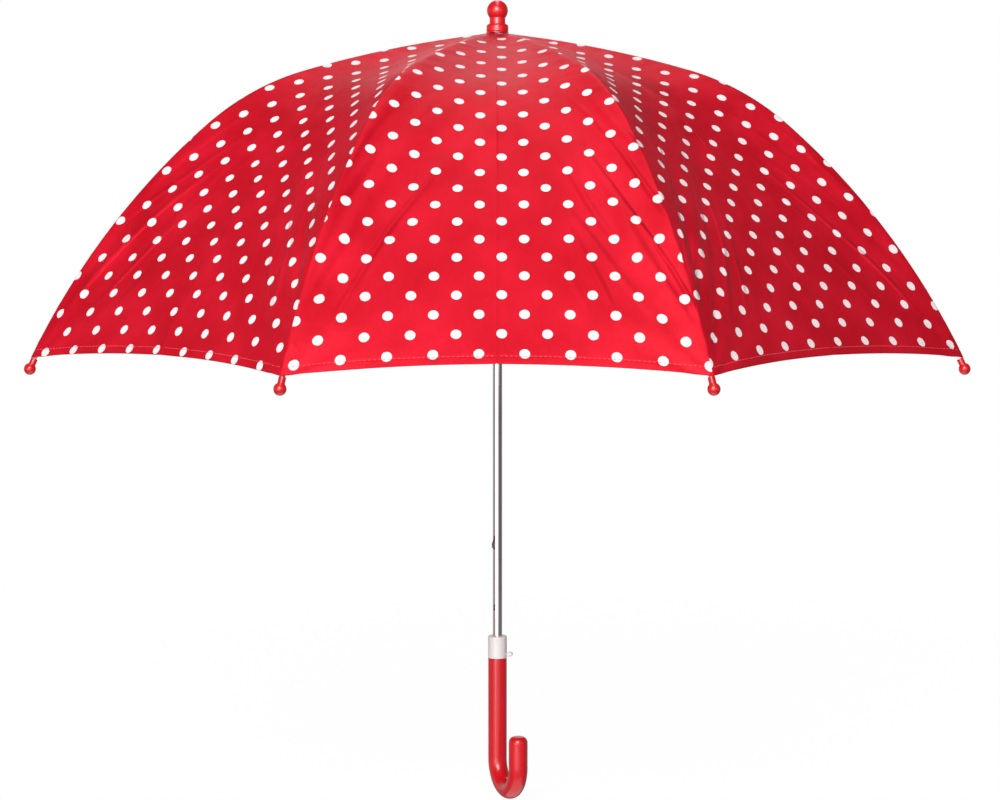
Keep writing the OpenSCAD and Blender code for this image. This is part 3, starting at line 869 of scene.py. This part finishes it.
CAMERA_AZIMUTH = math.radians(-22.5)
CAMERA_PITCH = 0.0783                   # radians downwards
CAMERA_LENS = 91.1                      # millimetres, on a sensor 36 mm wide
back = Vector((math.cos(CAMERA_AZIMUTH), math.sin(CAMERA_AZIMUTH), 0))
right = Vector((-math.sin(CAMERA_AZIMUTH), math.cos(CAMERA_AZIMUTH), 0))
up = Vector((0, 0, 1))


def make_camera():
    """The photograph's long lens, a little above the hem and looking slightly down."""
    data = bpy.data.cameras.new("camera")
    data.sensor_width = 36
    data.lens = CAMERA_LENS
    obj = bpy.data.objects.new("camera", data)
    bpy.context.scene.collection.objects.link(obj)
    look = -back * math.cos(CAMERA_PITCH) - up * math.sin(CAMERA_PITCH)
    turn = look.to_track_quat("-Z", "Y").to_matrix().to_4x4()
    place = back * 1.881 + right * 0.0019 + up * 0.3795
    obj.matrix_world = Matrix.Translation(place) @ turn
    bpy.context.scene.camera = obj


def softbox(name, place, aim, size, energy):
    """A rectangular light that the camera doesn't see."""
    data = bpy.data.lights.new(name, "AREA")
    data.shape = "RECTANGLE"
    data.size, data.size_y = size
    data.energy = energy
    obj = bpy.data.objects.new(name, data)
    bpy.context.scene.collection.objects.link(obj)
    obj.location = place
    obj.rotation_mode = "QUATERNION"
    obj.rotation_quaternion = (aim - place).to_track_quat("-Z", "Y")
    obj.visible_camera = False


# the surroundings, in radians from the camera and in strengths of the world's light
WINDOW_AT, WINDOW_HALF, WINDOW_EDGE = -0.28, 0.58, 0.08
CORE_AT, CORE_EDGES = -0.38, (0.13, 0.07)       # the window's brightest part
COVE_EDGES = 1.9, 2.4
WALL_EDGES = 1.2, -1.2                          # from its dark end to its pale end
LOW_EDGES, EYE_EDGES = (0.62, 0.38), (0.26, 0.16)       # sines of the height above eye level
DIM_WINDOW, BRIGHT_WINDOW = 0.25, 1.15          # away from eye level, and added at eye level
ROOM, SKY, COVE, CORE = 0.06, 0.05, 0.22, 5.0
WALL, WALL_DARK = 0.22, 0.4                     # what bare steel shows beside the window


def make_world():
    """A white cove behind the umbrella and, on the camera's side, a dark room with one tall bright
    window: it gives bare steel its dark edges and bright stripe. The camera itself sees white."""
    world = bpy.data.worlds.new("studio")
    bpy.context.scene.world = world
    world.use_nodes = True
    w = Wiring(world.node_tree)
    ray = w.add("ShaderNodeTexCoord").outputs["Generated"]

    def along(direction):
        node = w.add("ShaderNodeVectorMath", operation="DOT_PRODUCT")
        w.put(node.inputs[0], ray)
        w.put(node.inputs[1], direction)
        return node.outputs["Value"]

    turn = w.math("ARCTAN2", along(right), along(back))
    height = w.math("ABSOLUTE", along(up))
    low = w.ramp(height, *LOW_EDGES)
    eye_level = w.ramp(height, *EYE_EDGES)

    from_window = w.math("ABSOLUTE", w.math("SUBTRACT", turn, WINDOW_AT))
    window = w.ramp(from_window, WINDOW_HALF + WINDOW_EDGE, WINDOW_HALF)
    bright = w.math("ADD", DIM_WINDOW, w.math("MULTIPLY", eye_level, BRIGHT_WINDOW))
    core = w.ramp(w.math("ABSOLUTE", w.math("SUBTRACT", turn, CORE_AT)), *CORE_EDGES)
    wall = w.math("MULTIPLY", w.math("ADD", WALL_DARK, w.ramp(turn, *WALL_EDGES)), WALL)
    wall = w.math("ADD", wall, w.math("MULTIPLY", core, CORE))
    cove = w.ramp(w.math("ABSOLUTE", turn), *COVE_EDGES)

    shade = w.math("ADD", w.math("MULTIPLY", window, bright), w.math("MULTIPLY", cove, COVE))
    shade = w.math("ADD", w.math("ADD", ROOM, shade), w.math("MULTIPLY", eye_level, wall))
    level = w.math("ADD", w.math("MULTIPLY", low, shade),
                   w.math("MULTIPLY", w.math("SUBTRACT", 1.0, low), SKY))
    seen, lit = w.add("ShaderNodeBackground"), w.add("ShaderNodeBackground")
    w.put(seen.inputs[0], (1, 1, 1, 1))
    w.put(lit.inputs[0], (1, 0.90, 0.91, 1))
    w.put(lit.inputs[1], level)
    mix = w.add("ShaderNodeMixShader")
    w.put(mix.inputs[0], w.add("ShaderNodeLightPath").outputs["Is Camera Ray"])
    w.put(mix.inputs[1], lit.outputs[0])
    w.put(mix.inputs[2], seen.outputs[0])
    w.put(w.add("ShaderNodeOutputWorld").inputs[0], mix.outputs[0])


FLOOR_R = 1.5
FLOOR_GAP = 0.004           # below the handle
FLOOR_ALPHA, FLOOR_FADE = 0.06, (1.45, 0.35)    # it is clear at the first radius


def make_floor():
    """A pale disc under the umbrella that fades out into the white."""
    rings, spokes = 24, 96
    points = [(0, 0, 0)] + [(FLOOR_R * r / rings * math.cos(2 * math.pi * k / spokes),
                             FLOOR_R * r / rings * math.sin(2 * math.pi * k / spokes), 0)
                            for r in range(1, rings + 1) for k in range(spokes)]
    faces = [(0, 1 + k, 1 + (k + 1) % spokes) for k in range(spokes)]
    for r in range(rings - 1):
        for k in range(spokes):
            a, b = 1 + r * spokes + k, 1 + r * spokes + (k + 1) % spokes
            faces.append((a, a + spokes, b + spokes, b))
    floor = new_mesh("floor", points, faces)
    floor.location.z = CAD_BOX[0][2] - FLOOR_GAP
    n = Nodes("floor_paper")
    reach = n.add("ShaderNodeVectorMath", operation="LENGTH")
    n.put(reach.inputs[0], n.place())
    n.set(Base_Color=(0.95, 0.95, 0.95, 1), Roughness=0.8,
          Alpha=n.math("MULTIPLY", n.ramp(reach.outputs["Value"], *FLOOR_FADE), FLOOR_ALPHA))
    n.shader.inputs["Emission Color"].default_value = (1, 1, 1, 1)
    n.shader.inputs["Emission Strength"].default_value = 0.45
    floor.data.materials.append(n.material)


make_camera()
make_world()
make_floor()
aim = up * 0.38              # the middle of the canopy's opening
softbox("key", back * 1.9 - right * 0.27 + up * 1.16, aim, (1.1, 1.1), 45)
softbox("fill", back * 1.7 + right * 1.1 + up * 0.6, aim, (0.8, 1.0), 2)
softbox("top", back * -0.35 + up * 1.95, aim, (0.45, 2.8), 11)
softbox("rear", back * -1.9 + up * 1.0, aim, (1.0, 1.0), 4)
softbox("bounce", back * 0.1 - up * 0.9, aim, (1.6, 1.6), 8)
bpy.context.scene.view_settings.view_transform = "Standard"
